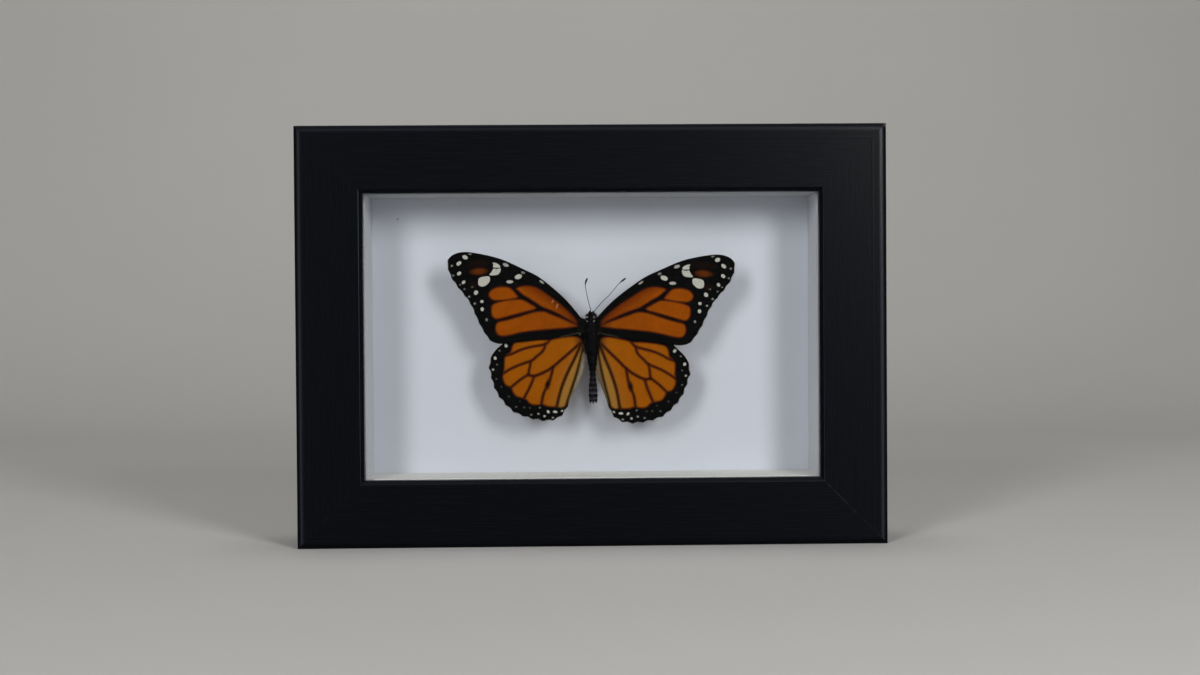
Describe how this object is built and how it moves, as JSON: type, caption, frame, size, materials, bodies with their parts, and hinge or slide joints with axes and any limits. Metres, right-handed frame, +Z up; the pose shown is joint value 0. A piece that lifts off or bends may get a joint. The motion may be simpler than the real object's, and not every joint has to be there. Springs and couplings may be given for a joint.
{
  "type": "framed butterfly specimen",
  "caption": "Black mitred shadow-box frame with a glass front and a white interior, holding a spread orange and black butterfly clear of its backing.",
  "frame": {"origin": "centre of the footprint, on the surface that the lower rail stands on", "axes": "+X to the right seen from the glazed side, +Y from the glass to the back, +Z up"},
  "size_m": [0.197, 0.037, 0.1405],
  "materials": {
    "black_lacquered_wood": "satin black lacquer over fine straight grain",
    "clear_glass": "clear polished float glass",
    "white_foam_board": "matt white paper face",
    "white_card": "matt white, fine paper texture",
    "hardboard": "smooth brown hardboard",
    "zinc_steel": "zinc-plated, slightly dull",
    "white_foam": "matt closed-cell foam",
    "black_body_hair": "matt black hair over hard skin",
    "forewing_scales": "matt powdery wing scales, orange with black veins and white spots",
    "hindwing_scales": "matt powdery wing scales, yellow-orange with black veins",
    "black_antenna": "matt black, scaled"
  },
  "bodies": {
    "root": {"rail_top": "black_lacquered_wood", "rail_bottom": "black_lacquered_wood", "rail_left": "black_lacquered_wood", "rail_right": "black_lacquered_wood", "glass_pane": "clear_glass", "liner_top": "white_foam_board", "liner_bottom": "white_foam_board", "liner_left": "white_foam_board", "liner_right": "white_foam_board", "mount_board": "white_card", "back_board": "hardboard", "glazing_point_top_1": "zinc_steel", "glazing_point_top_2": "zinc_steel", "glazing_point_bottom_1": "zinc_steel", "glazing_point_bottom_2": "zinc_steel", "glazing_point_left": "zinc_steel", "glazing_point_right": "zinc_steel", "sawtooth_hanger": "zinc_steel", "hanger_nail_1": "zinc_steel", "hanger_nail_2": "zinc_steel", "mounting_post": "white_foam", "butterfly_body": "black_body_hair", "forewing_left": "forewing_scales", "hindwing_left": "hindwing_scales", "antenna_left": "black_antenna", "forewing_right": "forewing_scales", "hindwing_right": "hindwing_scales", "antenna_right": "black_antenna"}
  },
  "joints": []
}
